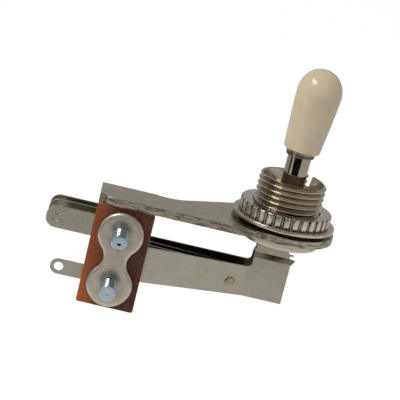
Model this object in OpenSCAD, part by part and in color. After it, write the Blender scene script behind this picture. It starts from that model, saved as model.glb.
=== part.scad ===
// Right-angle three-way toggle selector for an electric guitar.
// The lever rocks about X. The bushing points up along Z and its axis passes through the origin.
// The top of the frame plate is the plane z = 0.
// The frame arm and the stack of contact leaves run out along -X, in front of the axis.

/* [Bushing] */
// Radius over the thread of the bushing
thread_r = 6.0; // [5.6:0.1:6.4]
// Height of the bushing rim above the frame
rim_h = 8.3; // [7:0.1:11]
// Wall of the bushing between its mouth and the thread
mouth_wall = 0.95; // [0.9:0.05:1.4]
// Radius of the lower opening that the fork swings in
throat_r = 3.2; // [3.05:0.05:3.8]
// Width of the bushing's flange under the frame, beyond the thread
base_rim = 1.2; // [0.8:0.05:1.6]
// Thickness of the bushing's flange
base_t = 1.7; // [1.2:0.1:2]
// Width of the key slot in the rim
key_w = 1.15; // [0.8:0.05:1.6]
// Depth of the key slot below the rim
key_depth = 2.0; // [1:0.1:3]
// Direction of the key slot, turned from +X towards +Y
key_turn = 54; // [35:1:70]

/* [Washers and nut] */
// Width of the toothed lock washer outside the thread
lock_ring = 1.5; // [1.3:0.05:1.8]
// Thickness of the toothed lock washer
lock_t = 0.6; // [0.5:0.05:0.9]
// Number of inner teeth on the lock washer
lock_teeth = 12; // [8:1:16]
// Width of the flat washer outside the thread
washer_ring = 3.14; // [2.8:0.02:3.4]
// Thickness of the flat washer
washer_t = 0.62; // [0.4:0.02:0.9]
// Wall of the fluted ring nut outside the thread
nut_wall = 2.17; // [1.9:0.01:2.5]
// Height of the fluted ring nut
nut_h = 2.1; // [1.6:0.05:2.6]
// Number of flutes round the nut
nut_flutes = 32; // [24:1:40]
// Depth of each flute
flute_depth = 0.34; // [0.2:0.02:0.5]

/* [Frame] */
// Thickness of the frame sheet
sheet_t = 1.4; // [1.2:0.05:1.7]
// Rim of the frame's round end outside the flat washer
eye_rim = 0.16; // [0.06:0.02:0.7]
// Distance from the bushing axis to the far end of the arm
arm_len = 32.2; // [31.6:0.1:36]
// Distance of the arm's front edge inside the foremost point of the round end
arm_inset = 0.3; // [0.2:0.05:0.4]
// Corner radius at the front of the arm end
arm_corner_r = 3.0; // [1:0.1:3.4]
// Inner radius of the bend between arm and flange
bend_r = 1.2; // [0.8:0.05:1.4]
// Distance from the bushing axis at which the arm starts to widen at the back
neck_x = 18.9; // [17:0.1:21]
// Radius of the hollow corner where it starts to widen
neck_r = 6; // [2:0.5:8]
// Length of the arm, from its end, that carries the flange
flange_w = 10.05; // [9.8:0.05:11]
// Depth of the flange below the top of the frame
flange_depth = 19.5; // [19:0.1:21]

/* [Clamped stack] */
// Width of the insulating boards
board_w = 10.05; // [9.4:0.05:10.2]
// Height of the insulating boards
board_h = 18.15; // [17.6:0.05:18.4]
// Gap between the underside of the frame and the boards
board_gap = 0.15; // [0.05:0.05:0.4]
// Thickness of the front and rear boards
board_t = 0.8; // [0.6:0.05:1]
// Thickness of the board between the front outer and front inner leaf
front_spacer_t = 1.4; // [1.2:0.05:1.6]
// Thickness of the board between the two inner leaves
middle_spacer_t = 1.8; // [1.5:0.05:2]
// Thickness of the board between the rear inner and rear outer leaf
rear_spacer_t = 2.2; // [1.9:0.05:2.3]
// Distance between the two screws
screw_pitch = 9.2; // [8.8:0.05:9.4]
// Radius of the screw shank
screw_r = 1.45; // [1.2:0.05:1.5]
// Length of screw that stands out of the clamp plate
screw_out = 4.6; // [2:0.1:5]
// Radius of the screw head
head_r = 2.6; // [2.3:0.05:3]
// Height of the screw head
head_h = 1.7; // [1.3:0.1:2.2]
// Wall of the insulating sleeves on the screws
sleeve_wall = 0.45; // [0.35:0.05:0.6]
// Thickness of the clamp plate
clamp_t = 1.3; // [1:0.1:1.6]
// Radius of each lobe of the clamp plate
clamp_lobe_r = 4.0; // [3.7:0.05:4.2]
// Width of the waist of the clamp plate
clamp_waist = 4.3; // [3.6:0.1:5.2]
// Rounding of the clamp plate's front edge
clamp_round = 0.6; // [0.2:0.05:0.7]

/* [Contact leaves] */
// Thickness of the leaf metal
leaf_t = 0.4; // [0.3:0.02:0.45]
// Depth of the outer blades' top edge where they leave the stack
blade_top0 = 7.5; // [7:0.1:8]
// Depth of the outer blades' top edge beside the lever
blade_top1 = 8.6; // [8.3:0.1:9]
// Depth of the blades' lower edge
blade_base = 14.05; // [13.6:0.05:14.4]
// Distance from the axis to the middle of the outer leaf beside the lever
leaf_close = 2.3; // [2.25:0.05:2.5]
// End of the outer leaf beyond the bushing axis
leaf_end = 3.1; // [2.8:0.1:3.4]
// Width of the outer leaf's upright part
upright_w = 6.6; // [6.2:0.1:7]
// Depth of the upright part's top, where the lip starts
upright_top = 6.7; // [6.5:0.05:7]
// Distance from the axis to the middle of the tongue that the roller lifts
tongue_y = 1.4; // [1.36:0.01:1.5]
// Rise of the slanting lip
lip_rise = 0.8; // [0.6:0.05:1]
// Depth of the tongue's free end below the frame's top
tongue_top = 3.45; // [3.4:0.05:4]
// Width of the tongue
tongue_w = 5.7; // [5:0.1:6]
// Reach of the soldering lugs beyond the arm end
lug_reach = 8.15; // [6:0.05:9]
// Height of the wide soldering lugs
lug_h = 3.9; // [3.4:0.1:4.4]
// Depth of the top of the wide lugs
lug_top = 3.95; // [3.6:0.05:4.4]
// Corner radius of the wide lugs
lug_corner_r = 1.7; // [1:0.1:1.7]
// Radius of the soldering holes
lug_hole_r = 0.83; // [0.6:0.01:1]
// Distance of the soldering holes from the lug ends
lug_hole_in = 1.95; // [1.9:0.05:2.4]
// Width of the narrow lug
narrow_w = 2.7; // [2.4:0.05:3.2]
// Reach of the narrow lug beyond the arm end
narrow_reach = 5.7; // [4.6:0.1:7]
// Distance of the narrow lug's soldering hole from its end
narrow_hole_in = 1.5; // [1.4:0.05:2]
// Distance from the bushing axis to the contact rivets
contact_x = 6.7; // [6.4:0.05:7.2]
// Depth of the contact rivets
contact_z = 11.8; // [11.4:0.1:12.2]
// Radius of the contact discs
contact_r = 0.95; // [0.7:0.05:1.1]
// Height of each contact disc
contact_h = 0.45; // [0.3:0.05:0.5]
// Gap between two facing contact discs
contact_gap = 0.1; // [0.08:0.01:0.15]
// Height of the rivet head outside the leaf
rivet_h = 0.2; // [0.1:0.02:0.3]
// Radius of the rivet shank
rivet_r = 0.5; // [0.35:0.05:0.6]

/* [Lever] */
// Height of the pivot above the frame's top
pivot_z = 0.6; // [0.4:0.05:1]
// Radius of the pivot ball
ball_r = 2.5; // [2.4:0.05:2.7]
// Radius of the pivot pin
pivot_pin_r = 0.6; // [0.5:0.05:0.8]
// Radius of the lever rod
rod_r = 2.0; // [1.7:0.05:2.1]
// Height of the underside of the tip above the frame's top
tip_z = 13.4; // [12.6:0.1:15]
// Radius of the collar under the tip
collar_r = 2.6; // [2.3:0.05:2.8]
// Thickness of the collar
collar_t = 0.35; // [0.3:0.05:0.6]
// Radius of the stem inside the tip
stem_r = 1.5; // [1.2:0.05:1.7]
// Length of the stem inside the tip
stem_len = 8; // [6:0.5:9]
// Distance from the pivot down to the roller
roller_drop = 5.6; // [5.4:0.05:6]
// Radius of the roller
roller_r = 1.05; // [0.9:0.01:1.1]
// Length of the roller
roller_len = 2.9; // [2.6:0.1:3]
// Radius of the roller pin
roller_pin_r = 0.4; // [0.35:0.01:0.45]
// Width of the fork over its ears
fork_w = 4.6; // [4.4:0.1:4.8]
// Thickness of the fork
fork_t = 1.3; // [1.1:0.05:1.4]

/* [Tip] */
// Length of the tip
tip_len = 14.85; // [13:0.1:17]
// Greatest radius of the tip
tip_r = 3.95; // [3.5:0.01:4.2]
// Radius at the lower end of the tip
tip_foot_r = 3.25; // [3:0.01:3.4]
// Length of the rounded crown of the tip
tip_crown = 4.2; // [4:0.1:5]
// Rounding at the lower edge of the tip
tip_foot_round = 0.55; // [0.4:0.05:0.8]
// Lean of the tip on its stem, in degrees towards +X
tip_lean = 2.7; // [0:0.1:3]

/* [Clearances] */
// Radial play of the pins that turn
running = 0.03; // [0.02:0.01:0.05]
// Radial play of the pins and rivets that are held
held = 0.01; // [0.005:0.005:0.02]
// Radial play of washers, nut, screws and sleeves
loose = 0.1; // [0.05:0.05:0.15]

/* [Hidden] */

nickel = [0.66, 0.64, 0.59];
bright_nickel = [0.74, 0.72, 0.68];
steel = [0.62, 0.61, 0.59];
zinc = [0.66, 0.72, 0.78];
phenolic = [0.42, 0.20, 0.14];
fibre = [0.80, 0.76, 0.66];
cream = [0.86, 0.81, 0.68];
silver = [0.80, 0.79, 0.76];

// A cut starts and ends this far outside the solid that it cuts
over = 0.5;

// Everything round the bushing is sized from its thread
base_r = thread_r + base_rim;
lock_r = thread_r + lock_ring;
washer_r = thread_r + washer_ring;
nut_r = thread_r + nut_wall;
mouth_r = thread_r - mouth_wall;
eye_r = washer_r + eye_rim;
arm_front = eye_r - arm_inset;

// Levels of the washers and nut above the frame
washer_z = lock_t;
nut_z = washer_z + washer_t;
sheet_base = -sheet_t;

// Mid planes of the leaves, counted from the flange towards the front
rear_outer_y = -board_t - leaf_t / 2;
rear_inner_y = rear_outer_y - leaf_t - rear_spacer_t;
front_inner_y = rear_inner_y - leaf_t - middle_spacer_t;
front_outer_y = front_inner_y - leaf_t - front_spacer_t;
stack_front = front_outer_y - leaf_t / 2 - board_t;

// Extent of the boards and of the leaves that they clamp
board_x0 = -arm_len;
board_x1 = board_x0 + board_w;
board_z1 = sheet_base - board_gap;
board_z0 = board_z1 - board_h;
screw_x = (board_x0 + board_x1) / 2;
screw_mid = (board_z0 + board_z1) / 2;
screw_z = [screw_mid + screw_pitch / 2, screw_mid - screw_pitch / 2];
pad_inset = 0.8;
pad_x0 = board_x0 + pad_inset;
pad_x1 = board_x1 - pad_inset;
pad_z1 = board_z1 - pad_inset;
pad_z0 = board_z0 + pad_inset;
sleeve_r = screw_r + loose + sleeve_wall;

// The blades leave the stack and close in on the lever.
// Each function takes a leaf's distance in the stack and works on the +Y side.
close_x0 = board_x1 + 0.3;
close_x1 = leaf_end - upright_w - 0.6;
inner_end = contact_x - 1.5;
contact_span = leaf_t + 2 * contact_h + contact_gap;
function outer_slope(y) = atan((leaf_close - y) / (close_x1 - close_x0));
function outer_at(y) = y - (contact_x + close_x0) * tan(outer_slope(y));
function inner_at(y) = outer_at(y) - contact_span / cos(outer_slope(y));
function inner_slope(y, inner) = atan((inner_at(y) - inner) / (-contact_x - close_x0));
// The lip flares past the upright part on the side away from the stack
lip_flare = 0.7;
lip_top = upright_top - lip_rise;
notch_r = 0.8;

// Places on the lever
roller_z = pivot_z - roller_drop;
ear_len = roller_r + 0.15;
ear_gap = 0.1;
// The cone under the rim leads into the bore that holds the ball
ball_bore_r = ball_r + 0.1;
cone_top = pivot_z + 3.8;
cone_base = pivot_z + 1.6;
throat_z = pivot_z - 1.6;

// Rows of slices that round an edge by a quarter of a circle
round_steps = 5;

// Sheet outline of the frame, seen from above: the arm is one polygon, joined to the round end
module frame_outline() {
    back_y = -bend_r;
    front_y = -arm_front;
    corner = arm_corner_r;
    // The back edge runs from the neck into the round end, just short of its tangent
    near_r = eye_r - 0.02;
    reach = sqrt(neck_x * neck_x + back_y * back_y);
    turn = atan2(-back_y, neck_x) + asin(near_r / reach);
    run = neck_r * tan(turn / 2);
    difference() {
        union() {
            circle(r = eye_r, $fn = 128);
            polygon(concat(
                [[0, front_y]],
                [for (a = [270 : -10 : 180])
                    [-arm_len + corner + corner * cos(a), front_y + corner + corner * sin(a)]],
                [[-arm_len, back_y]],
                [for (i = [0 : 8]) let (a = i * turn / 8)
                    [-neck_x - run + neck_r * sin(a), back_y + neck_r * (1 - cos(a))]],
                [[-near_r * sin(turn), near_r * cos(turn)], [0, 0]]
            ));
        }
        circle(r = thread_r + held, $fn = 96);
    }
}

// Quarter bend and flange, drawn in the YZ plane and carried along X
module flange_section() {
    bend_z = sheet_base - bend_r;
    intersection() {
        translate([-bend_r, bend_z]) difference() {
            circle(r = bend_r + sheet_t, $fn = 64);
            circle(r = bend_r, $fn = 64);
        }
        translate([-bend_r, bend_z]) square(bend_r + sheet_t + 1);
    }
    translate([0, -flange_depth]) square([sheet_t, flange_depth + bend_z]);
}

module frame() {
    foot_r = 2;
    color(nickel) {
        translate([0, 0, sheet_base]) linear_extrude(sheet_t) frame_outline();
        difference() {
            translate([-arm_len, 0, 0]) rotate([90, 0, 90])
                linear_extrude(flange_w) flange_section();
            for (z = screw_z) translate([screw_x, -over, z]) rotate([-90, 0, 0])
                cylinder(r = screw_r + loose, h = sheet_t + 2 * over, $fn = 48);
            for (end = [0, 1]) translate([-arm_len + end * flange_w, 0, -flange_depth])
                mirror([end, 0, 0]) difference() {
                    translate([-over, -over, -over])
                        cube([foot_r + over, sheet_t + 2 * over, foot_r + over]);
                    translate([foot_r, -2 * over, foot_r]) rotate([-90, 0, 0])
                        cylinder(r = foot_r, h = sheet_t + 4 * over, $fn = 48);
                }
        }
    }
}

// The thread is drawn as its outer cylinder
module bushing() {
    rim_edge = 0.25;
    base = sheet_base - base_t;
    edge = 0.6;
    color(nickel) difference() {
        rotate_extrude($fn = 128) polygon(concat(
            [[throat_r, base], [base_r - edge, base]],
            [for (a = [-75 : 15 : -15])
                [base_r - edge + edge * cos(a), base + edge + edge * sin(a)]],
            [[base_r, base + edge], [base_r, sheet_base], [thread_r, sheet_base],
            [thread_r, rim_h - rim_edge], [thread_r - rim_edge, rim_h], [mouth_r, rim_h],
            [mouth_r, cone_top], [ball_bore_r, cone_base], [ball_bore_r, throat_z],
            [throat_r, throat_z - 0.6]]
        ));
        rotate([0, 0, key_turn]) translate([0, -key_w / 2, rim_h - key_depth])
            cube([thread_r + over, key_w, key_depth + over]);
        translate([-thread_r - over, 0, pivot_z]) rotate([0, 90, 0])
            cylinder(r = pivot_pin_r + held, h = 2 * (thread_r + over), $fn = 48);
    }
}

module pivot_pin() {
    length = 2 * (thread_r - 0.2);
    color(steel) translate([-length / 2, 0, pivot_z]) rotate([0, 90, 0])
        cylinder(r = pivot_pin_r, h = length, $fn = 48);
}

// A ring whose teeth reach in to the thread
module lock_washer() {
    tooth_w = 0.9;
    root_r = (thread_r + lock_r) / 2;
    tooth_r = thread_r + loose + 0.05;
    color(steel) linear_extrude(lock_t) difference() {
        union() {
            difference() {
                circle(r = lock_r, $fn = 96);
                circle(r = root_r, $fn = 96);
            }
            for (i = [0 : lock_teeth - 1]) rotate(360 * i / lock_teeth)
                translate([tooth_r - 0.4, -tooth_w / 2])
                    square([root_r + 0.1 - tooth_r + 0.4, tooth_w]);
        }
        circle(r = tooth_r, $fn = 96);
    }
}

module flat_washer() {
    edge = 0.1;
    color(bright_nickel) translate([0, 0, washer_z]) rotate_extrude($fn = 128) polygon([
        [thread_r + loose, 0], [washer_r - edge, 0], [washer_r, edge],
        [washer_r, washer_t - edge], [washer_r - edge, washer_t], [thread_r + loose, washer_t]
    ]);
}

// Flat-topped ridges stand between the flutes, and both rims are chamfered
module ring_nut() {
    pitch = 360 / nut_flutes;
    root_r = nut_r - flute_depth;
    chamfer = 0.3;
    color(bright_nickel) translate([0, 0, nut_z]) difference() {
        intersection() {
            linear_extrude(nut_h) polygon([
                for (i = [0 : nut_flutes - 1], k = [0 : 3])
                    let (a = pitch * (i + [0, 0.55, 0.68, 0.87][k]), r = k < 2 ? nut_r : root_r)
                        [r * cos(a), r * sin(a)]
            ]);
            rotate_extrude($fn = 128) polygon([
                [0, 0], [nut_r - chamfer, 0], [nut_r, chamfer],
                [nut_r, nut_h - chamfer], [nut_r - chamfer, nut_h], [0, nut_h]
            ]);
        }
        translate([0, 0, -over])
            cylinder(r = thread_r + loose / 2, h = nut_h + 2 * over, $fn = 96);
    }
}

// Rod, collar, stem, ball and fork are one turned and milled piece
module lever() {
    fork_base = roller_z - ear_len;
    slot_w = roller_len + 2 * ear_gap;
    color(bright_nickel) difference() {
        union() {
            translate([0, 0, pivot_z]) cylinder(r = rod_r, h = tip_z - collar_t - pivot_z, $fn = 64);
            translate([0, 0, tip_z - collar_t]) cylinder(r = collar_r, h = collar_t, $fn = 64);
            translate([0, 0, tip_z - over]) cylinder(r = stem_r, h = stem_len + over, $fn = 64);
            translate([0, 0, pivot_z]) sphere(r = ball_r, $fn = 64);
            intersection() {
                translate([-fork_w / 2, -fork_t / 2, fork_base])
                    cube([fork_w, fork_t, pivot_z - fork_base]);
                translate([-fork_w, 0, fork_base + ear_len]) union() {
                    rotate([0, 90, 0]) cylinder(r = ear_len, h = 2 * fork_w, $fn = 64);
                    translate([0, -ball_r, 0]) cube([2 * fork_w, 2 * ball_r, roller_drop]);
                }
            }
        }
        translate([-slot_w / 2, -ball_r, fork_base - over])
            cube([slot_w, 2 * ball_r, 2 * ear_len + over + 0.2]);
        translate([-fork_w, 0, roller_z]) rotate([0, 90, 0])
            cylinder(r = roller_pin_r + held, h = 2 * fork_w, $fn = 32);
        translate([-ball_r - over, 0, pivot_z]) rotate([0, 90, 0])
            cylinder(r = pivot_pin_r + running, h = 2 * (ball_r + over), $fn = 48);
    }
}

module roller() {
    color(fibre) translate([-roller_len / 2, 0, roller_z]) rotate([0, 90, 0]) difference() {
        cylinder(r = roller_r, h = roller_len, $fn = 64);
        translate([0, 0, -over])
            cylinder(r = roller_pin_r + running, h = roller_len + 2 * over, $fn = 32);
    }
}

module roller_pin() {
    color(steel) translate([-fork_w / 2, 0, roller_z]) rotate([0, 90, 0])
        cylinder(r = roller_pin_r, h = fork_w, $fn = 32);
}

// Outline of the tip as half of its long section: foot rounding, taper and crown
function tip_profile(shrink = 0) = concat(
    [for (a = [-90 : 15 : 0])
        [tip_foot_r - tip_foot_round + tip_foot_round * cos(a) - shrink,
         tip_foot_round + tip_foot_round * sin(a)]],
    [for (a = [0 : 6 : 90])
        [max(0, tip_r * pow(cos(a), 0.94) - shrink),
         tip_len - tip_crown + tip_crown * pow(sin(a), 1.06)]]
);

// The bore lies on the stem, and the moulding leans a little on it
module tip() {
    recess_d = 0.3;
    color(cream) translate([0, 0, tip_z]) difference() {
        rotate([0, tip_lean, 0]) rotate_extrude($fn = 96)
            polygon(concat([[0, 0]], tip_profile(), [[0, tip_len]]));
        translate([0, 0, -over]) cylinder(r = stem_r + held, h = stem_len + over + 0.2, $fn = 64);
        translate([0, 0, -over]) cylinder(r = collar_r + 0.15, h = recess_d + over, $fn = 64);
    }
}

// A wide or narrow lug with its soldering hole, drawn with x to the right and z up
module lug_outline(reach, top, height, corner, hole_in) {
    end_x = -arm_len - reach;
    difference() {
        union() {
            translate([end_x + corner, top - height])
                square([pad_x0 - end_x - corner + 0.5, height]);
            translate([end_x, top - height + corner])
                square([corner, height - 2 * corner + 0.001]);
            for (z = [top - corner, top - height + corner])
                translate([end_x + corner, z]) circle(r = corner, $fn = 48);
        }
        translate([end_x + hole_in, top - height / 2]) circle(r = lug_hole_r, $fn = 48);
    }
}

// The part of a leaf that the boards clamp, with the holes for the sleeves
module pad_outline() {
    difference() {
        translate([pad_x0, pad_z0]) square([pad_x1 - pad_x0, pad_z1 - pad_z0]);
        for (z = screw_z) translate([screw_x, z])
            circle(r = sleeve_r + loose, $fn = 48);
    }
}

// Outer leaf seen from the front: lug, pad, tapered blade and upright part
module outer_outline() {
    left = leaf_end - upright_w;
    union() {
        lug_outline(lug_reach, -lug_top, lug_h, lug_corner_r, lug_hole_in);
        pad_outline();
        difference() {
            polygon([
                [pad_x1 - 1, -blade_top0], [left - notch_r, -blade_top1],
                [left, -blade_top1 + notch_r], [left, -upright_top], [leaf_end, -upright_top],
                [leaf_end, -blade_base], [pad_x1 - 1, -blade_base]
            ]);
            translate([left - notch_r, -blade_top1 + notch_r]) circle(r = notch_r, $fn = 48);
            translate([-contact_x, -contact_z]) circle(r = rivet_r + held, $fn = 32);
        }
    }
}

// Blade of an inner leaf seen from the front: it ends short of the lever
module inner_blade() {
    drop = 0.9;
    end_r = 1.2;
    difference() {
        polygon([
            [pad_x1 - 1, -blade_top0], [-inner_end - end_r, -blade_top1 - drop],
            [-inner_end, -blade_top1 - drop - end_r], [-inner_end, -blade_base + drop + end_r],
            [-inner_end - end_r, -blade_base + drop], [pad_x1 - 1, -blade_base]
        ]);
        translate([-contact_x, -contact_z]) circle(r = rivet_r + held, $fn = 32);
    }
}

// Band of leaf metal seen from above: straight in the stack, slanting to (x1, y1), then straight
module plan_band(y0, x1, y1, end_x) {
    half = leaf_t / 2;
    start = -arm_len - lug_reach - 1;
    lead = half * tan(atan((y1 - y0) / (x1 - close_x0)) / 2);
    polygon([
        [start, y0 - half], [close_x0 + lead, y0 - half], [x1 + lead, y1 - half],
        [end_x, y1 - half], [end_x, y1 + half], [x1 - lead, y1 + half],
        [close_x0 - lead, y0 + half], [start, y0 + half]
    ]);
}

// Carries an XZ outline through the whole depth of the switch
module through_depth(depth = 24) {
    translate([0, depth / 2, 0]) rotate([90, 0, 0]) linear_extrude(depth) children();
}

// Upright part, slanting lip and tongue, drawn in the YZ plane for the +Y side
module tongue_section() {
    half = leaf_t / 2;
    fall = leaf_close - tongue_y;
    turn = atan2(fall, lip_rise);
    lead = half * tan(turn / 2);
    // The band folds in by the lip's angle and stands up again
    polygon([
        [leaf_close - half, -blade_top1], [leaf_close + half, -blade_top1],
        [leaf_close + half, -upright_top + lead], [tongue_y + half, -lip_top + lead],
        [tongue_y + half, -tongue_top], [tongue_y - half, -tongue_top],
        [tongue_y - half, -lip_top - lead], [leaf_close - half, -upright_top - lead]
    ]);
}

// Outline of lip and tongue seen from the front
module tongue_outline() {
    left = leaf_end - upright_w;
    tongue_x0 = left + 0.2;
    corner = 0.5;
    polygon([
        [left, -blade_top1], [left, -upright_top], [left + 0.1, -lip_top - 0.1],
        [tongue_x0, -lip_top + 0.15], [tongue_x0, -tongue_top - corner],
        [tongue_x0 + corner, -tongue_top], [tongue_x0 + tongue_w - corner, -tongue_top],
        [tongue_x0 + tongue_w, -tongue_top - corner], [tongue_x0 + tongue_w, -lip_top + 0.15],
        [leaf_end + lip_flare, -lip_top - 0.1], [leaf_end, -upright_top], [leaf_end, -blade_top1]
    ]);
}

// Outer leaf that reaches the +Y side of the lever, from its distance in the stack
module outer_leaf(y) {
    union() {
        intersection() {
            translate([0, 0, -30]) linear_extrude(30)
                plan_band(y, close_x1, leaf_close, leaf_end + 1);
            through_depth() outer_outline();
        }
        intersection() {
            translate([-10, 0, 0]) rotate([90, 0, 90]) linear_extrude(20) tongue_section();
            through_depth() tongue_outline();
        }
    }
}

// Inner leaf next to an outer leaf, with the lug that it is given
module inner_leaf(outer, inner, reach, top, height, corner, hole_in) {
    x1 = -inner_end + 1;
    y1 = inner + (x1 - close_x0) * tan(inner_slope(outer, inner));
    union() {
        translate([0, inner + leaf_t / 2, 0]) rotate([90, 0, 0]) linear_extrude(leaf_t) {
            lug_outline(reach, top, height, corner, hole_in);
            pad_outline();
        }
        intersection() {
            translate([0, 0, -30]) linear_extrude(30) plan_band(inner, x1, y1, x1 + 1);
            through_depth() inner_blade();
        }
    }
}

module rear_outer_leaf() {
    color(nickel) outer_leaf(rear_outer_y);
}

module front_outer_leaf() {
    color(nickel) mirror([0, 1, 0]) outer_leaf(-front_outer_y);
}

module rear_inner_leaf() {
    color(nickel) inner_leaf(
        rear_outer_y, rear_inner_y, lug_reach, -lug_top, lug_h, lug_corner_r, lug_hole_in
    );
}

module front_inner_leaf() {
    color(nickel) mirror([0, 1, 0]) inner_leaf(
        -front_outer_y, -front_inner_y,
        narrow_reach, screw_z[1] + narrow_w / 2, narrow_w, narrow_w / 2, narrow_hole_in
    );
}

// Contact rivet along Y: disc on one face of the leaf, shank through it, low head on the other.
// It stands on the leaf's mid plane, turned with the leaf.
module contact(mid_y, slope, disc_side) {
    head_r = contact_r;
    translate([-contact_x, mid_y, -contact_z]) rotate([0, 0, slope])
        rotate([-90, 0, 0]) mirror([0, 0, disc_side < 0 ? 1 : 0]) {
            translate([0, 0, -leaf_t / 2 - 0.05]) cylinder(r = rivet_r, h = leaf_t + 0.1, $fn = 32);
            translate([0, 0, leaf_t / 2]) rotate_extrude($fn = 48) polygon([
                [0, 0], [head_r, 0], [head_r, contact_h - 0.1],
                [head_r - 0.15, contact_h], [0, contact_h]
            ]);
            translate([0, 0, -leaf_t / 2 - rivet_h]) rotate_extrude($fn = 48) polygon([
                [0, 0], [head_r - 0.25, 0], [head_r - 0.05, 0.08], [head_r, rivet_h], [0, rivet_h]
            ]);
        }
}

module rear_outer_contact() {
    color(silver) contact(outer_at(rear_outer_y), outer_slope(rear_outer_y), -1);
}

module front_outer_contact() {
    color(silver) mirror([0, 1, 0])
        contact(outer_at(-front_outer_y), outer_slope(-front_outer_y), -1);
}

module rear_inner_contact() {
    color(silver) contact(inner_at(rear_outer_y), inner_slope(rear_outer_y, rear_inner_y), 1);
}

module front_inner_contact() {
    color(silver) mirror([0, 1, 0])
        contact(inner_at(-front_outer_y), inner_slope(-front_outer_y, -front_inner_y), 1);
}

// Insulating board from one distance to another, with round holes for screws or sleeves
module board(y0, y1, hole_r, inset, drop) {
    corner = 0.25;
    w = board_w - 2 * inset;
    h = board_h - 2 * inset - drop;
    color(phenolic) difference() {
        translate([board_x0 + inset, y1, board_z0 + inset]) rotate([90, 0, 0])
            linear_extrude(y1 - y0) polygon([
                [corner, 0], [w - corner, 0], [w, corner], [w, h - corner],
                [w - corner, h], [corner, h], [0, h - corner], [0, corner]
            ]);
        for (z = screw_z) translate([screw_x, y0 - over, z]) rotate([-90, 0, 0])
            cylinder(r = hole_r, h = y1 - y0 + 2 * over, $fn = 48);
    }
}

module front_board() {
    board(stack_front, stack_front + board_t, screw_r + loose, 0, 0);
}

module front_spacer() {
    y = front_outer_y + leaf_t / 2;
    board(y, y + front_spacer_t, sleeve_r + loose, 0.2, 0);
}

module middle_spacer() {
    y = front_inner_y + leaf_t / 2;
    board(y, y + middle_spacer_t, sleeve_r + loose, 0.2, 0);
}

module rear_spacer() {
    y = rear_inner_y + leaf_t / 2;
    board(y, y + rear_spacer_t, sleeve_r + loose, 0.2, 0);
}

// It stays below the inner radius of the frame's bend
module rear_board() {
    board(-board_t, 0, screw_r + loose, 0, bend_r);
}

// Tubes that keep the leaves off the screws, between the front and rear boards
module screw_sleeves() {
    length = -stack_front - 2 * board_t;
    color(fibre) for (z = screw_z) translate([screw_x, -board_t - length, z]) rotate([-90, 0, 0])
        difference() {
            cylinder(r = sleeve_r, h = length, $fn = 48);
            translate([0, 0, -over])
                cylinder(r = screw_r + loose, h = length + 2 * over, $fn = 48);
        }
}

// Two lobes joined by a waist whose sides are arcs tangent to both lobes
module clamp_outline(inset) {
    r = clamp_lobe_r;
    half = clamp_waist / 2;
    mid = screw_pitch / 2;
    // Radius of the arcs that draw in the waist
    fillet = (mid * mid + half * half - r * r) / (2 * (r - half));
    centre = half + fillet;
    reach = sqrt(mid * mid + centre * centre);
    touch_x = r * centre / reach;
    touch_z = mid - r * mid / reach;
    union() {
        for (s = [-1, 1]) translate([0, s * mid]) circle(r = r - inset, $fn = 64);
        difference() {
            translate([-touch_x, -touch_z]) square([2 * touch_x, 2 * touch_z]);
            for (s = [-1, 1]) translate([s * centre, 0]) circle(r = fillet + inset, $fn = 64);
        }
    }
}

// Tapped clamp plate whose front edge is rounded in slices
module clamp_plate() {
    flat_t = clamp_t - clamp_round;
    slice = clamp_round / round_steps;
    color(steel) translate([screw_x, stack_front, screw_mid]) rotate([90, 0, 0]) difference() {
        union() {
            linear_extrude(flat_t) clamp_outline(0);
            for (i = [0 : round_steps - 1])
                translate([0, 0, flat_t + i * slice]) linear_extrude(slice)
                    clamp_outline(clamp_round * (1 - sqrt(1 - pow((i + 0.5) / round_steps, 2))));
        }
        for (s = [-1, 1]) translate([0, s * screw_pitch / 2, -over])
            cylinder(r = screw_r + held, h = clamp_t + 2 * over, $fn = 48);
    }
}

// Slotted pan-head screws whose heads bear on the flange
module screws() {
    slot_w = 0.6;
    slot_d = 0.8;
    tail = 0.15;
    head_y = sheet_t;
    tail_y = stack_front - clamp_t - screw_out;
    color(zinc) for (z = screw_z) translate([screw_x, head_y, z]) rotate([90, 0, 0])
        difference() {
            union() {
                rotate_extrude($fn = 64) polygon([
                    [0, -head_h], [head_r * 0.62, -head_h], [head_r * 0.86, -head_h * 0.86],
                    [head_r, -head_h * 0.5], [head_r, 0], [screw_r, 0],
                    [screw_r, head_y - tail_y - tail], [screw_r - tail, head_y - tail_y],
                    [0, head_y - tail_y]
                ]);
            }
            translate([-head_r - over, -slot_w / 2, -head_h - over])
                cube([2 * (head_r + over), slot_w, slot_d + over]);
        }
}

frame();
bushing();
pivot_pin();
lock_washer();
flat_washer();
ring_nut();
lever();
tip();
roller();
roller_pin();
front_outer_leaf();
front_inner_leaf();
rear_inner_leaf();
rear_outer_leaf();
front_outer_contact();
front_inner_contact();
rear_inner_contact();
rear_outer_contact();
front_board();
front_spacer();
middle_spacer();
rear_spacer();
rear_board();
screw_sleeves();
clamp_plate();
screws();
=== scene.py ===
import logging
import math
from dataclasses import dataclass
from enum import Enum
from functools import cached_property
from typing import ClassVar

import bmesh
import bpy
import numpy as np
from mathutils import Matrix, Vector


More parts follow.
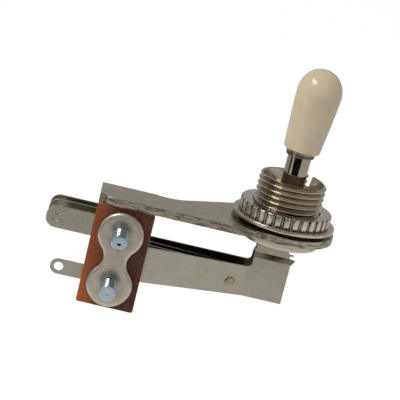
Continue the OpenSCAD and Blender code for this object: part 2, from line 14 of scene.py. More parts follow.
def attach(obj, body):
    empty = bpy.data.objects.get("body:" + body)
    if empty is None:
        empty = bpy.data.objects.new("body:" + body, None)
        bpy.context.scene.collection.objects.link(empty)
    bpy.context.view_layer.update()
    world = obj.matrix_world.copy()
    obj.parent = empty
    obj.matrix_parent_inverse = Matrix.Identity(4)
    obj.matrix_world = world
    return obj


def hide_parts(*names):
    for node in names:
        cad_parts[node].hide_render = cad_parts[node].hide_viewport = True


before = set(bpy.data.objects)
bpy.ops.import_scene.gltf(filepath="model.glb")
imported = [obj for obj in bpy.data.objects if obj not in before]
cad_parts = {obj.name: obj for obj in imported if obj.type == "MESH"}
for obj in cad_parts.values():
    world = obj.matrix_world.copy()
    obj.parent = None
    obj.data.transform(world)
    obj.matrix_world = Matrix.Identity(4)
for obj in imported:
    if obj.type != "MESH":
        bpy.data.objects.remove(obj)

LOG = logging.getLogger("selector")
MM = 0.001
# Distances in metres under which two points are one, on a computed surface and on a node's mesh.
SAME_POINT = 2e-7
SAME_NODE_POINT = 1e-6
# Angles in degrees: a corner's shading, a corner on a node's mesh, a flat face, a rounded edge.
SHARP = 32
NODE_SHARP = 30
FLAT = 0.6
ROUNDED = 40
# Share of a thread's turn that is flat at the crest and again at the root.
THREAD_FLAT = 0.14

Colour = tuple[float, float, float]
Span = tuple[float, float]


class Slot(Enum):
    """Material slots of the record."""

    NICKEL = "nickel"
    BRIGHT_NICKEL = "bright_nickel"
    CLAMP_STEEL = "clamp_steel"
    ZINC = "zinc"
    PHENOLIC = "phenolic"
    FIBRE = "fibre"
    CREAM = "cream"
    SILVER = "silver"


class Body(Enum):
    """Bodies that the pieces ride on."""

    BODY = "body"
    LEVER = "lever"


class Grain(Enum):
    """How the surface of a metal was worked."""

    TUMBLED = "tumbled"
    TURNED = "turned"
    PRESSED = "pressed"


# ---------------------------------------------------------------- surfaces


def grid_faces(rows: int, cols: int, wrap_rows: bool = False, wrap_cols: bool = True) -> np.ndarray:
    """Joins a grid of points, counted row by row, with four-sided faces.

    Args:
        rows: Number of rows of points.
        cols: Number of points in a row.
        wrap_rows: Whether the last row joins the first.
        wrap_cols: Whether the end of a row joins its start.

    Returns:
        One row of four point numbers for each face.
    """
    row, col = np.meshgrid(
        np.arange(rows if wrap_rows else rows - 1),
        np.arange(cols if wrap_cols else cols - 1),
        indexing="ij",
    )
    up, on = (row + 1) % rows, (col + 1) % cols
    faces = [row * cols + col, row * cols + on, up * cols + on, up * cols + col]
    return np.stack(faces, axis=-1).reshape(-1, 4)


def eased(corners: np.ndarray, ease: np.ndarray, steps: int = 5, closed: bool = False) -> np.ndarray:
    """Rounds each corner of a line: the corner C becomes the curve
    (1-t)^2 A + 2t(1-t) C + t^2 B between the points A and B at the given distance before and after it.

    Args:
        corners: Points of the line, one per row.
        ease: Distance from each corner at which its curve starts and ends.
        steps: Number of points on each curve.
        closed: Whether the line is a loop.

    Returns:
        Points of the rounded line.
    """
    corners = np.asarray(corners, float)
    ease = np.broadcast_to(np.asarray(ease, float), len(corners))[:, None]
    before, after = np.roll(corners, 1, 0) - corners, np.roll(corners, -1, 0) - corners
    start = corners + before / np.maximum(np.linalg.norm(before, axis=1, keepdims=True), 1e-9) * ease
    end = corners + after / np.maximum(np.linalg.norm(after, axis=1, keepdims=True), 1e-9) * ease
    t = np.linspace(0, 1, steps)[None, :, None]
    curve = (1 - t) ** 2 * start[:, None] + 2 * t * (1 - t) * corners[:, None] + t**2 * end[:, None]
    if closed:
        return curve.reshape(-1, 2)
    inner = curve[1:-1].reshape(-1, 2)
    return np.vstack([corners[:1], inner, corners[-1:]])


def turned(radius: np.ndarray, height: np.ndarray, cols: int) -> np.ndarray:
    """Turns a profile about the Z axis: row i, column j lies at the angle 2 pi j / cols,
    at radius[i, j] from the axis and at height[i, j].

    Args:
        radius: Radii, one row per profile point, with one column or one per angle.
        height: Heights in the same form.
        cols: Number of angles.

    Returns:
        Points, row by row.
    """
    angle = np.arange(cols)[None, :] * 2 * math.pi / cols
    radius, height = np.broadcast_arrays(radius, height)
    radius = np.broadcast_to(radius, (len(radius), cols))
    height = np.broadcast_to(height, (len(height), cols))
    return np.stack([radius * np.cos(angle), radius * np.sin(angle), height], -1).reshape(-1, 3)


def thread_shape(turns: np.ndarray) -> np.ndarray:
    """Height of a thread's flank between root (0) and crest (1): a triangle wave of one turn,
    cut flat at crest and root and eased by a smooth step.

    Args:
        turns: Place along the thread, in turns; whole numbers are crests.

    Returns:
        The height share at each place.
    """
    wave = np.abs(2 * np.mod(turns, 1.0) - 1)
    share = np.clip((wave - THREAD_FLAT) / (1 - 2 * THREAD_FLAT), 0, 1)
    eased_share = share**2 * (3 - 2 * share)
    return 0.55 * share + 0.45 * eased_share


def clean(obj: bpy.types.Object, merge: float, flat: float | None, sharp: float) -> None:
    """Merges doubles, closes poles, turns the faces outwards and shades smooth but for sharp edges.

    Args:
        obj: Piece to clean.
        merge: Distance in metres under which points become one.
        flat: Angle in degrees under which neighbouring faces become one, or None to keep them.
        sharp: Angle in degrees from which an edge is shaded as a corner.
    """
    shape = bmesh.new()
    shape.from_mesh(obj.data)
    bmesh.ops.remove_doubles(shape, verts=shape.verts, dist=merge)
    bmesh.ops.dissolve_degenerate(shape, edges=shape.edges, dist=merge)
    if flat is not None:
        bmesh.ops.dissolve_limit(
            shape, angle_limit=math.radians(flat), verts=shape.verts, edges=shape.edges
        )
    bmesh.ops.recalc_face_normals(shape, faces=shape.faces)
    shape.to_mesh(obj.data)
    shape.free()
    obj.data.shade_smooth()
    obj.data.set_sharp_from_angle(angle=math.radians(sharp))
    obj.data.update()


def weigh_normals(obj: bpy.types.Object) -> None:
    """Shades each face by its size, so that broad faces stay flat beside their rounded edges."""
    weigh = obj.modifiers.new("normals", "WEIGHTED_NORMAL")
    weigh.weight, weigh.keep_sharp = 60, True


def new_piece(
    name: str, points: np.ndarray, faces: np.ndarray, sharp: float = SHARP
) -> bpy.types.Object:
    """Makes a piece from points in millimetres.

    Args:
        name: Name of the piece.
        points: Points, one per row.
        faces: Point numbers of each face.
        sharp: Angle in degrees from which an edge is shaded as a corner.

    Returns:
        The new object at the origin.
    """
    mesh = bpy.data.meshes.new(name)
    mesh.from_pydata((points * MM).tolist(), [], faces.tolist())
    obj = bpy.data.objects.new(name, mesh)
    bpy.context.scene.collection.objects.link(obj)
    clean(obj, SAME_POINT, None, sharp)
    weigh_normals(obj)
    return obj


def turned_piece(
    name: str, profile: np.ndarray, cols: int, loop: bool, sharp: float = SHARP
) -> bpy.types.Object:
    """Makes a plain turned piece about the Z axis.

    Args:
        name: Name of the piece.
        profile: Radius and height of each profile point; it ends on the axis unless it is a loop.
        cols: Number of angles.
        loop: Whether the profile is a closed loop, as on a ring.
        sharp: Angle in degrees from which an edge is shaded as a corner.

    Returns:
        The new object.
    """
    points = turned(profile[:, :1], profile[:, 1:], cols)
    return new_piece(name, points, grid_faces(len(profile), cols, loop), sharp)


def finished_copy(node: str, name: str, edge: float, segments: int = 2) -> bpy.types.Object:
    """Copies a node of the frame, merges its loose faces and rounds its edges.

    Args:
        node: Name of the node.
        name: Name of the new piece.
        edge: Width of the rounded edges in millimetres.
        segments: Number of faces across a rounded edge.

    Returns:
        The new object.
    """
    obj = bpy.data.objects.new(name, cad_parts[node].data.copy())
    obj.data.name = name
    obj.data.materials.clear()
    bpy.context.scene.collection.objects.link(obj)
    clean(obj, SAME_NODE_POINT, FLAT, NODE_SHARP)
    bevel = obj.modifiers.new("edges", "BEVEL")
    bevel.width = edge * MM
    bevel.segments = segments
    bevel.limit_method = "ANGLE"
    bevel.angle_limit = math.radians(ROUNDED)
    bevel.harden_normals = True
    return obj


def carved(obj: bpy.types.Object, low: Vector, high: Vector, turn: float = 0.0) -> None:
    """Cuts a box out of a piece and keeps the result as its mesh.

    Args:
        obj: Piece to cut.
        low: Lowest corner of the box in millimetres.
        high: Highest corner of the box.
        turn: Turn of the box about the Z axis in degrees.
    """
    spread = np.array(np.meshgrid([0, 1], [0, 1], [0, 1], indexing="ij")).reshape(3, -1).T
    corners = np.array(low) + spread * (np.array(high) - np.array(low))
    sides = [[0, 1, 3, 2], [4, 6, 7, 5], [0, 4, 5, 1], [2, 3, 7, 6], [0, 2, 6, 4], [1, 5, 7, 3]]
    cutter = new_piece("cutter", corners, np.array(sides))
    cutter.data.transform(Matrix.Rotation(math.radians(turn), 4, "Z"))
    cut = obj.modifiers.new("cut", "BOOLEAN")
    cut.operation, cut.solver, cut.object = "DIFFERENCE", "EXACT", cutter
    bpy.context.view_layer.update()
    made = bpy.data.meshes.new_from_object(obj.evaluated_get(bpy.context.evaluated_depsgraph_get()))
    obj.modifiers.clear()
    obj.data = made
    bpy.data.objects.remove(cutter)
    clean(obj, SAME_POINT, None, SHARP)
    weigh_normals(obj)


# ---------------------------------------------------------------- finishes


def linear(colour: Colour) -> tuple[float, float, float, float]:
    """Turns a display colour of 0 to 255 into the linear colour of a shader socket."""
    share = np.array(colour) / 255
    low, high = share / 12.92, ((share + 0.055) / 1.055) ** 2.4
    return (*np.where(share <= 0.04045, low, high).tolist(), 1.0)


class Wiring:
    """Node tree of a new material or world."""

    def __init__(self, owner: bpy.types.Material | bpy.types.World) -> None:
        """Starts with an empty tree.

        Args:
            owner: Material or world that the tree belongs to.
        """
        owner.use_nodes = True
        owner.node_tree.nodes.clear()
        self.owner = owner
        self.tree = owner.node_tree

    def add(self, kind: str, **settings: object) -> bpy.types.Node:
        """Adds a node and sets its properties.

        Args:
            kind: Type of the node.
            settings: Properties to set on it.

        Returns:
            The node.
        """
        made = self.tree.nodes.new(kind)
        for key, value in settings.items():
            setattr(made, key, value)
        return made

    def join(self, source: object, target: bpy.types.NodeSocket) -> None:
        """Links a socket, or sets a constant, into an input."""
        if isinstance(source, bpy.types.NodeSocket):
            self.tree.links.new(source, target)
        else:
            target.default_value = source

    @cached_property
    def place(self) -> bpy.types.NodeSocket:
        """Object coordinates in millimetres."""
        coordinates = self.add("ShaderNodeTexCoord")
        return self.stretched(coordinates.outputs["Object"], (1 / MM, 1 / MM, 1 / MM))

    @cached_property
    def facing(self) -> list[bpy.types.NodeSocket]:
        """X, Y and Z parts of the way that the surface looks."""
        return self.parts(self.add("ShaderNodeNewGeometry").outputs["Normal"])

    def parts(self, vector: bpy.types.NodeSocket) -> list[bpy.types.NodeSocket]:
        """Takes a vector apart into X, Y and Z."""
        node = self.add("ShaderNodeSeparateXYZ")
        self.join(vector, node.inputs[0])
        return list(node.outputs)

    def stretched(self, place: object, scale: tuple[float, float, float]) -> bpy.types.NodeSocket:
        """Scales a place along each axis."""
        node = self.add("ShaderNodeMapping")
        self.join(place, node.inputs["Vector"])
        node.inputs["Scale"].default_value = scale
        return node.outputs["Vector"]

    def noise(
        self, place: object, scale: float, detail: float = 3, rough: float = 0.55
    ) -> bpy.types.NodeSocket:
        """Adds a noise pattern.

        Args:
            place: Vector socket that it reads.
            scale: Patches per millimetre.
            detail: Number of finer layers.
            rough: Strength of the finer layers.

        Returns:
            Its height, about 0.5 in the mean.
        """
        node = self.add("ShaderNodeTexNoise")
        self.join(place, node.inputs["Vector"])
        node.inputs["Scale"].default_value = scale
        node.inputs["Detail"].default_value = detail
        node.inputs["Roughness"].default_value = rough
        return node.outputs["Fac"]

    def calc(self, operation: str, first: object, second: object = 0.0) -> bpy.types.NodeSocket:
        """Adds a math node.

        Args:
            operation: Name of the operation.
            first: First socket or number.
            second: Second socket or number.

        Returns:
            The result.
        """
        node = self.add("ShaderNodeMath", operation=operation)
        self.join(first, node.inputs[0])
        self.join(second, node.inputs[1])
        return node.outputs[0]

    def times(self, first: object, second: object) -> bpy.types.NodeSocket:
        """Multiplies two sockets or numbers."""
        return self.calc("MULTIPLY", first, second)

    def span(self, value: object, low: float, high: float, to: Span = (0, 1)) -> bpy.types.NodeSocket:
        """Maps a range to another with a smooth step and stays inside it.

        Args:
            value: Socket to map.
            low: Start of the range.
            high: End of the range.
            to: Results at its start and end.

        Returns:
            The mapped value.
        """
        node = self.add("ShaderNodeMapRange", interpolation_type="SMOOTHSTEP")
        names = ("Value", "From Min", "From Max", "To Min", "To Max")
        for source, name in zip((value, low, high, *to), names):
            self.join(source, node.inputs[name])
        return node.outputs["Result"]

    def blend(self, share: object, first: object, second: object) -> bpy.types.NodeSocket:
        """Mixes two colours.

        Args:
            share: Share of the second one.
            first: First colour.
            second: Second colour.

        Returns:
            The mixed colour.
        """
        node = self.add("ShaderNodeMix", data_type="RGBA")
        self.join(share, node.inputs[0])
        self.join(first, node.inputs[6])
        self.join(second, node.inputs[7])
        return node.outputs[2]

    def bump(
        self, height: object, strength: float, distance: float, under: object = None
    ) -> bpy.types.NodeSocket:
        """Adds a bump of a height in millimetres.

        Args:
            height: Height socket from 0 to 1.
            strength: Strength of the bump.
            distance: Height in millimetres that 1 stands for.
            under: Normal of the bump below it.

        Returns:
            The bumped normal.
        """
        node = self.add("ShaderNodeBump")
        node.inputs["Strength"].default_value = strength
        node.inputs["Distance"].default_value = distance * MM
        self.join(height, node.inputs["Height"])
        if under is not None:
            self.join(under, node.inputs["Normal"])
        return node.outputs["Normal"]

    def away(self) -> bpy.types.NodeSocket:
        """Distance from the Z axis: the root of X squared plus Y squared."""
        x, y, _ = self.parts(self.place)
        return self.calc("SQRT", self.calc("ADD", self.times(x, x), self.times(y, y)))

    def axis_place(self) -> bpy.types.NodeSocket:
        """Distance from the Z axis and height, as a place, so that a pattern becomes turning lines."""
        made = self.add("ShaderNodeCombineXYZ")
        self.join(self.away(), made.inputs[0])
        self.join(self.parts(self.place)[2], made.inputs[2])
        return made.outputs[0]

    def shader(self, kind: str, **inputs: object) -> bpy.types.NodeSocket:
        """Adds a shader.

        Args:
            kind: Type of its node.
            inputs: Its inputs by name, with _ for a space.

        Returns:
            The shader's output.
        """
        node = self.add(kind)
        for name, value in inputs.items():
            self.join(value, node.inputs[name.replace("_", " ")])
        return node.outputs[0]

    def mixed(self, share: object, first: object, second: object) -> bpy.types.NodeSocket:
        """Mixes two shaders by the share of the second."""
        node = self.add("ShaderNodeMixShader")
        for source, target in zip((share, first, second), node.inputs):
            self.join(source, target)
        return node.outputs[0]

    def seen_by(self, *rays: str) -> bpy.types.NodeSocket:
        """Gives 1 where one of the named kinds of ray looks and 0 elsewhere."""
        path = self.add("ShaderNodeLightPath")
        seen = path.outputs[rays[0]]
        for ray in rays[1:]:
            seen = self.calc("MAXIMUM", seen, path.outputs[ray])
        return seen

    def close(self, surface: bpy.types.NodeSocket) -> bpy.types.Material | bpy.types.World:
        """Joins the last shader to the output.

        Args:
            surface: The shader's output.

        Returns:
            The finished material or world.
        """
        kind = "World" if isinstance(self.owner, bpy.types.World) else "Material"
        output = self.add(f"ShaderNodeOutput{kind}")
        self.tree.links.new(surface, output.inputs["Surface"])
        return self.owner


@dataclass(frozen=True)
class Metal:
    """A metal finish with cloudy tone, dull specks, and the marks of how it was worked.

    Painted shade may darken the bottoms of flutes or a thread, between the two distances from the Z
    axis in groove. Painted shade may darken front faces in the stretch painted_shade_span along X,
    where little light reaches.
    A sheet's sheared edge has streaks above the height rim_z: partly real shear marks, partly a painted
    dark reflection.
    """

    name: str
    tone: Colour
    shade: Colour
    roughness: float
    grain: Grain
    marks: float = 1.0
    groove: Span | None = None
    painted_shade_span: Span | None = None
    # Colour of the painted shade, and of the streaks on a sheared edge.
    dark: Colour = (70, 64, 56)
    sheared: float = 0.0
    rim_z: float = -1.6

    def cloudy(self, w: Wiring) -> bpy.types.NodeSocket:
        """Colour with clouds of the shade and dull specks."""
        clouds = w.span(w.noise(w.place, 0.45, 4, 0.6), 0.36, 0.68)
        specks = w.span(w.noise(w.place, 5.5, 3, 0.6), 0.60, 0.78)
        colour = w.blend(w.times(clouds, 0.55), linear(self.tone), linear(self.shade))
        dull = tuple(0.72 * part for part in self.shade)
        return w.blend(w.times(specks, 0.14 * min(self.marks, 1.0)), colour, linear(dull))

    def groove_painted_shade(self, w: Wiring, upright: object) -> bpy.types.NodeSocket:
        """Share of painted shade in the grooves: it sets in below their rise and ends under their
        bottom.
        """
        rise, low = self.groove
        below, above = w.span(w.away(), rise, low), w.span(w.away(), low - 0.22, low - 0.15)
        return w.times(w.times(below, above), upright)

    def painted_shade_share(self, w: Wiring) -> bpy.types.NodeSocket:
        """Share of painted shade between the leaves: the stretch along X, with soft ends, on faces that
        look to the front.
        """
        low, high = self.painted_shade_span
        x = w.parts(w.place)[0]
        reach = w.times(w.span(x, low, low + 0.8), w.span(x, high, high - 0.8))
        return w.times(reach, w.span(w.facing[1], 0.3, -0.3))

    def worked(self, w: Wiring) -> bpy.types.NodeSocket:
        """Normal with the marks of turning, of tumbling, or of the press and the rolled sheet."""
        if self.grain is Grain.TURNED:
            return w.bump(w.noise(w.axis_place(), 9.0, 3, 0.6), 0.10 * self.marks, 0.05)
        if self.grain is Grain.TUMBLED:
            dents = w.bump(w.noise(w.place, 1.6, 2, 0.5), 0.20 * self.marks, 0.10)
            fine = w.noise(w.stretched(w.place, (1.0, 1.0, 2.2)), 9.0, 3, 0.6)
            return w.bump(fine, 0.08 * self.marks, 0.03, dents)
        waves = w.bump(w.noise(w.place, 0.28, 2, 0.5), 0.30 * self.marks, 0.35)
        lines = w.noise(w.stretched(w.place, (0.12, 0.5, 1.6)), 8.0, 4, 0.6)
        return w.bump(lines, 0.05 * self.marks, 0.04, waves)

    def material(self) -> bpy.types.Material:
        """Builds the material.

        Returns:
            The material.
        """
        w = Wiring(bpy.data.materials.new(self.name))
        upright = w.span(w.calc("ABSOLUTE", w.facing[2]), 0.85, 0.45)
        colour, dark = self.cloudy(w), linear(self.dark)
        if self.groove is not None:
            # painted shade: the bottoms of the thread and of the flutes are darkened toward the dark
            # colour
            colour = w.blend(self.groove_painted_shade(w, upright), colour, dark)
        if self.painted_shade_span is not None:
            # painted shade: front faces between the leaves are darkened
            colour = w.blend(self.painted_shade_share(w), colour, dark)
        normal = self.worked(w)
        if self.sheared:
            height = w.parts(w.place)[2]
            rim = w.times(upright, w.span(height, self.rim_z, self.rim_z + 0.2))
            tears = w.noise(w.stretched(w.place, (0.30, 0.30, 2.2)), 1.6, 3, 0.65)
            normal = w.bump(w.times(tears, rim), self.sheared, 0.30, normal)
            # streaks on the sheared edge: partly real shear marks, partly a painted dark reflection
            shear_marks_and_painted_reflection = w.times(w.span(tears, 0.45, 0.60, (0.05, 0.85)), rim)
            colour = w.blend(shear_marks_and_painted_reflection, colour, dark)
        uneven = w.span(w.noise(w.place, 1.1, 4, 0.65), 0.3, 0.7, (-0.03, 0.04))
        return w.close(w.shader(
            "ShaderNodeBsdfPrincipled", Base_Color=colour, Metallic=1.0,
            Roughness=w.calc("ADD", uneven, self.roughness), Normal=normal,
        ))


@dataclass(frozen=True)
class Laminate:
    """Resin-bonded paper sheet: mottled brown faces, and sawn edges that show the paler plies. Painted
    light makes the face warmer and lighter in the stretch left along X, most of all in the stretch
    lower along Z."""

    name: str
    face: Colour
    warm: Colour
    deep: Colour
    edge_light: Colour
    edge_dark: Colour
    # Stretches along X and along Z where the painted light lies on the face.
    left: Span = (-27.0, -32.8)
    lower: Span = (-8.0, -21.0)

    def face_colour(self, w: Wiring) -> bpy.types.NodeSocket:
        """Colour of a pressed face: clouds of the deep tone, painted light from the left, and fibres.
        """
        x, _, z = w.parts(w.place)
        # painted light: the face is painted warmer and lighter on the left, most of all low down
        half = w.calc("ADD", w.times(w.span(z, *self.lower), 0.5), 0.5)
        glow = w.times(w.span(x, *self.left), half)
        clouds = w.span(w.noise(w.stretched(w.place, (1, 1, 0.6)), 0.5, 4, 0.6), 0.35, 0.7)
        fibres = w.span(w.noise(w.stretched(w.place, (1.0, 1.0, 0.25)), 6.0, 3, 0.7), 0.35, 0.7)
        colour = w.blend(w.times(clouds, 0.6), linear(self.face), linear(self.deep))
        colour = w.blend(w.times(glow, 0.8), colour, linear(self.warm))
        return w.blend(w.times(fibres, 0.20), colour, linear(self.warm))

    def material(self) -> bpy.types.Material:
        """Builds the material; the edges are told from the faces by the way they look along Y.

        Returns:
            The material.
        """
        w = Wiring(bpy.data.materials.new(self.name))
        plies = w.span(w.noise(w.stretched(w.place, (0.35, 9.0, 0.35)), 1.0, 3, 0.6), 0.35, 0.65)
        edge = w.blend(plies, linear(self.edge_light), linear(self.edge_dark))
        on_face = w.span(w.calc("ABSOLUTE", w.facing[1]), 0.80, 0.95)
        paper = w.noise(w.stretched(w.place, (1, 1, 0.3)), 7.0, 3, 0.65)
        return w.close(w.shader(
            "ShaderNodeBsdfPrincipled", Base_Color=w.blend(on_face, edge, self.face_colour(w)),
            Roughness=w.span(w.noise(w.place, 1.2, 3), 0.3, 0.7, (0.32, 0.48)),
            Normal=w.bump(paper, 0.12, 0.04), IOR=1.36,
        ))


@dataclass(frozen=True)
class Plastic:
    """Polished or moulded plastic with a faint mottle and slightly uneven gloss."""

    name: str
    tone: Colour
    shade: Colour
    roughness: float
    soft: float

    def material(self) -> bpy.types.Material:
        """Builds the material.

        Returns:
            The material.
        """
        w = Wiring(bpy.data.materials.new(self.name))
        clouds = w.span(w.noise(w.place, 0.22, 3, 0.5), 0.35, 0.7)
        grain = w.span(w.noise(w.place, 2.6, 4, 0.6), 0.5, 0.8)
        colour = w.blend(w.times(clouds, 0.5), linear(self.tone), linear(self.shade))
        colour = w.blend(w.times(grain, 0.08), colour, linear(self.shade))
        gloss = (self.roughness - 0.04, self.roughness + 0.06)
        swells = w.bump(w.noise(w.place, 0.5, 2), 0.10, 0.10)
        return w.close(w.shader(
            "ShaderNodeBsdfPrincipled", Base_Color=colour, IOR=1.49,
            Roughness=w.span(w.noise(w.place, 0.9, 4, 0.6), 0.3, 0.7, gloss),
            Normal=w.bump(w.noise(w.place, 6.0, 3), 0.03, 0.02, swells),
            Subsurface_Weight=self.soft, Subsurface_Scale=0.0012,
            Subsurface_Radius=(1.0, 0.7, 0.45),
        ))


class Finishes:
    """The finishes of the switch, each built once."""

    CHOICES: dict[str, Metal | Laminate | Plastic] = {
        # sheet: its dark colour is for the edge streaks, partly shear marks and partly painted
        # reflection
        "sheet": Metal(
            "sheet_nickel", (176, 169, 152), (164, 157, 140), 0.22, Grain.PRESSED,
            dark=(96, 87, 74), sheared=0.2,
        ),
        "leaf": Metal("leaf_nickel", (163, 159, 146), (154, 149, 136), 0.28, Grain.PRESSED, 0.35),
        # inner leaves: painted shade on their front faces between the leaves, where little light
        # reaches
        "inner_leaf": Metal(
            "inner_leaf_nickel", (163, 159, 146), (154, 149, 136), 0.28, Grain.PRESSED, 0.35,
            painted_shade_span=(-22.0, -4.0), dark=(60, 57, 50),
        ),
        # turned and fluted: painted shade in the bottoms of the thread and of the flutes
        "turned": Metal(
            "turned_nickel", (176, 168, 153), (160, 151, 135), 0.11, Grain.TURNED,
            groove=(5.80, 5.60), dark=(104, 90, 70),
        ),
        "fluted": Metal(
            "fluted_nickel", (198, 190, 179), (182, 174, 163), 0.12, Grain.TURNED, 0.8,
            groove=(8.15, 8.00), dark=(108, 101, 92),
        ),
        "bright": Metal("bright_nickel", (190, 183, 170), (174, 167, 154), 0.12, Grain.TURNED, 0.8),
        "polished": Metal("polished_nickel", (174, 166, 152), (160, 152, 138), 0.05, Grain.TURNED, 0.3),
        "steel": Metal("plain_steel", (140, 136, 128), (112, 108, 100), 0.34, Grain.TUMBLED),
        # dark: painted shade, a dark finish on the lock washer for the shadowed gap under the flat
        # washer
        "dark": Metal("painted_shade_steel", (58, 54, 48), (44, 40, 36), 0.40, Grain.TUMBLED),
        # collar: a darker copy of the nickel, painted shade and dark reflection under the tip
        "collar": Metal("collar_nickel_painted_shade", (132, 124, 110), (96, 88, 76), 0.12, Grain.TURNED, 0.3),
        "clamp": Metal("clamp_steel", (182, 173, 161), (160, 152, 141), 0.32, Grain.TUMBLED, 1.1),
        "zinc": Metal("zinc_screw", (164, 180, 188), (140, 158, 168), 0.11, Grain.TUMBLED, 0.15),
        "silver": Metal("contact_silver", (150, 143, 130), (126, 119, 106), 0.22, Grain.TUMBLED, 0.6),
        "phenolic": Laminate(
            "phenolic_board", (68, 29, 18), (192, 98, 40), (40, 19, 15), (206, 148, 92), (132, 72, 38)
        ),
        "fibre": Plastic("nylon_fibre", (214, 206, 186), (192, 182, 160), 0.42, 0.1),
        "cream": Plastic("cream_tip", (206, 191, 160), (200, 184, 152), 0.10, 0.10),
    }
    _made: dict[str, bpy.types.Material] = {}

    @classmethod
    def get(cls, key: str) -> bpy.types.Material:
        """Gives the material of a finish, built when first asked for.

        Args:
            key: Name of the finish in CHOICES.

        Returns:
            The material.
        """
        if key not in cls._made:
            cls._made[key] = cls.CHOICES[key].material()
        return cls._made[key]


# ---------------------------------------------------------------- sub-assemblies


class SubAssembly:
    """Common ways to seat and dress the pieces of a sub-assembly."""

    def dress_node(self, node: str, finish: str) -> None:
        """Gives a node of the frame its finish.

        Args:
            node: Name of the node.
            finish: Name of the finish.
        """
        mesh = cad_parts[node].data
        mesh.materials.clear()
        mesh.materials.append(Finishes.get(finish))
        LOG.info("dressed node %s as %s", node, finish)

    def seat(
        self, obj: bpy.types.Object, body: Body, slot: Slot, finish: str, *nodes: str
    ) -> bpy.types.Object:
        """Dresses a piece, seats it on its body and lets it stand for its nodes.

        Args:
            obj: The piece.
            body: Body that it rides on.
            slot: Material slot of the record; not used.
            finish: Name of the finish.
            nodes: Nodes that it stands for.

        Returns:
            The same piece.
        """
        obj.data.materials.clear()
        obj.data.materials.append(Finishes.get(finish))
        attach(obj, body.value)
        if nodes:
            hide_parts(*nodes)
        LOG.info("made %s with %d points as %s", obj.name, len(obj.data.vertices), finish)
        return obj


@dataclass
class Bushing(SubAssembly):
    """Threaded bushing with its flange under the frame, its rim, mouth and key slot."""

    thread_r: float = 6.0
    root_r: float = 5.46
    pitch: float = 1.0
    thread_z: float = 1.0
    thread_turn: float = 0.2
    seat_r: float = 5.95
    rim_z: float = 8.3
    rim_slope: float = 0.95
    rim_r: float = 5.76
    mouth_r: float = 5.36
    cone_top_r: float = 4.3
    cone_top: float = 4.4
    cone_base: float = 2.2
    ball_bore_r: float = 2.6
    throat_r: float = 3.2
    throat_z: float = -1.0
    flange_r: float = 7.2
    flange_z: float = -3.1
    sheet_z: float = -1.4
    key_w: float = 1.15
    key_depth: float = 2.0
    key_turn: float = 54.0
    cols: int = 160
    rows_per_turn: int = 14

    def surface(self) -> tuple[np.ndarray, np.ndarray]:
        """Works out the bushing as one loop of rows turned about Z. On the thread rows the radius is
        the root plus the flank height at (z / pitch - angle), and never more than the rim's chamfer.

        Returns:
            Points and faces.
        """
        angle = np.arange(self.cols)[None, :] / self.cols
        foot = eased(
            [[self.throat_r, self.flange_z], [self.flange_r, self.flange_z],
             [self.flange_r, self.sheet_z], [self.seat_r, self.sheet_z],
             [self.seat_r, self.thread_z - 0.1]],
            [0, 0.6, 0.12, 0.1, 0],
        )
        rows = int((self.rim_z - self.thread_z) / self.pitch * self.rows_per_turn)
        z = np.linspace(self.thread_z, self.rim_z, rows)[:, None]
        flank = thread_shape(z / self.pitch - angle + self.thread_turn)
        radius = self.root_r + (self.thread_r - self.root_r) * flank
        chamfer = self.rim_r + np.maximum(self.rim_z - z, 0) * self.rim_slope
        radius = np.minimum(radius, chamfer)
        mouth = eased(
            [[self.mouth_r + 0.07, self.rim_z], [self.mouth_r, self.rim_z - 0.07],
             [self.cone_top_r, self.cone_top], [self.ball_bore_r, self.cone_base],
             [self.ball_bore_r, self.throat_z],
             [self.throat_r, self.throat_z - 0.6], [self.throat_r, self.flange_z + 0.1]],
            [0, 0.03, 0.4, 0.3, 0.1, 0.1, 0],
        )
        full = np.ones_like(angle)
        radii = np.vstack([foot[:, :1] * full, radius, mouth[:, :1] * full])
        heights = np.vstack([foot[:, 1:] * full, z * full, mouth[:, 1:] * full])
        return turned(radii, heights, self.cols), grid_faces(len(radii), self.cols, True)

    def build(self) -> None:
        """Builds the bushing, cuts its key slot, and dresses the pivot pin in it."""
        obj = new_piece("threaded_bushing", *self.surface(), sharp=38)
        half = self.key_w / 2
        carved(
            obj, Vector((self.mouth_r - 1, -half, self.rim_z - self.key_depth)),
            Vector((self.thread_r + 1, half, self.rim_z + 1)), self.key_turn,
        )
        self.seat(obj, Body.BODY, Slot.NICKEL, "turned", "bushing")
        self.dress_node("pivot_pin", "steel")


